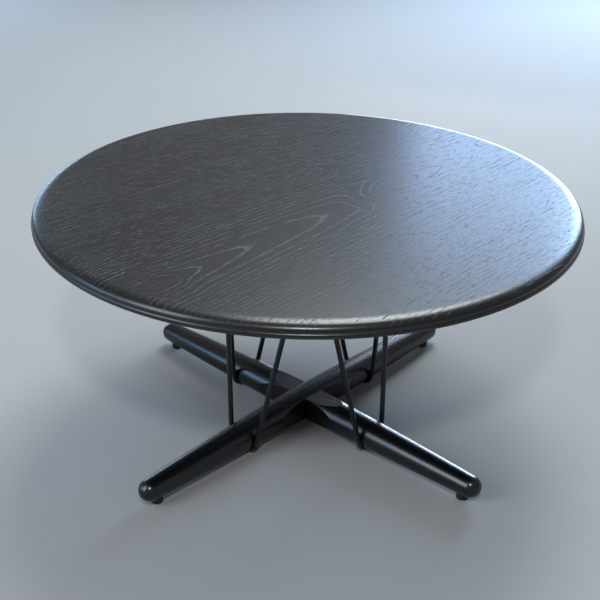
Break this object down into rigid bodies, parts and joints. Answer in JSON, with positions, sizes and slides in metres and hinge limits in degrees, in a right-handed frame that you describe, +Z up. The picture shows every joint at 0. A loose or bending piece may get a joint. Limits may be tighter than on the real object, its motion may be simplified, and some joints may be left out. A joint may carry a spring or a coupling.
{
  "type": "side table",
  "caption": "Low round side table: black-stained wooden top with a rounded edge, carried by bent steel rods on a floor cross of tapered round beams.",
  "frame": {"origin": "on the floor, under the middle of the round top", "axes": "+Z up, +X along the upper beam of the cross towards its back right end, +Y along the lower beam towards its back left end"},
  "size_m": [0.9, 0.9, 0.4354],
  "materials": {
    "stained_wood": "open-pore wood stained black, satin",
    "coated_steel": "black powder coat, satin",
    "blackened_steel": "blackened",
    "zinc_steel": "zinc plated",
    "nylon": "moulded black nylon"
  },
  "bodies": {
    "root": {"table_top": "stained_wood", "upper_beam": "stained_wood", "lower_beam": "stained_wood", "rod_yoke_back_right": "coated_steel", "rod_yoke_back_left": "coated_steel", "rod_yoke_front_left": "coated_steel", "rod_yoke_front_right": "coated_steel", "yoke_screw_back_right": "blackened_steel", "yoke_screw_back_left": "blackened_steel", "yoke_screw_front_left": "blackened_steel", "yoke_screw_front_right": "blackened_steel", "mount_plate_back": "coated_steel", "mount_plate_left": "coated_steel", "mount_plate_front": "coated_steel", "mount_plate_right": "coated_steel", "plate_screw_back_1": "blackened_steel", "plate_screw_back_2": "blackened_steel", "plate_screw_back_3": "blackened_steel", "plate_screw_left_1": "blackened_steel", "plate_screw_left_2": "blackened_steel", "plate_screw_left_3": "blackened_steel", "plate_screw_front_1": "blackened_steel", "plate_screw_front_2": "blackened_steel", "plate_screw_front_3": "blackened_steel", "plate_screw_right_1": "blackened_steel", "plate_screw_right_2": "blackened_steel", "plate_screw_right_3": "blackened_steel", "glide_back_right": "nylon", "glide_back_left": "nylon", "glide_front_left": "nylon", "glide_front_right": "nylon", "glide_screw_back_right": "blackened_steel", "glide_screw_back_left": "blackened_steel", "glide_screw_front_left": "blackened_steel", "glide_screw_front_right": "blackened_steel", "lap_bolt": "blackened_steel", "lap_washer": "zinc_steel", "lap_insert": "zinc_steel"}
  },
  "joints": []
}
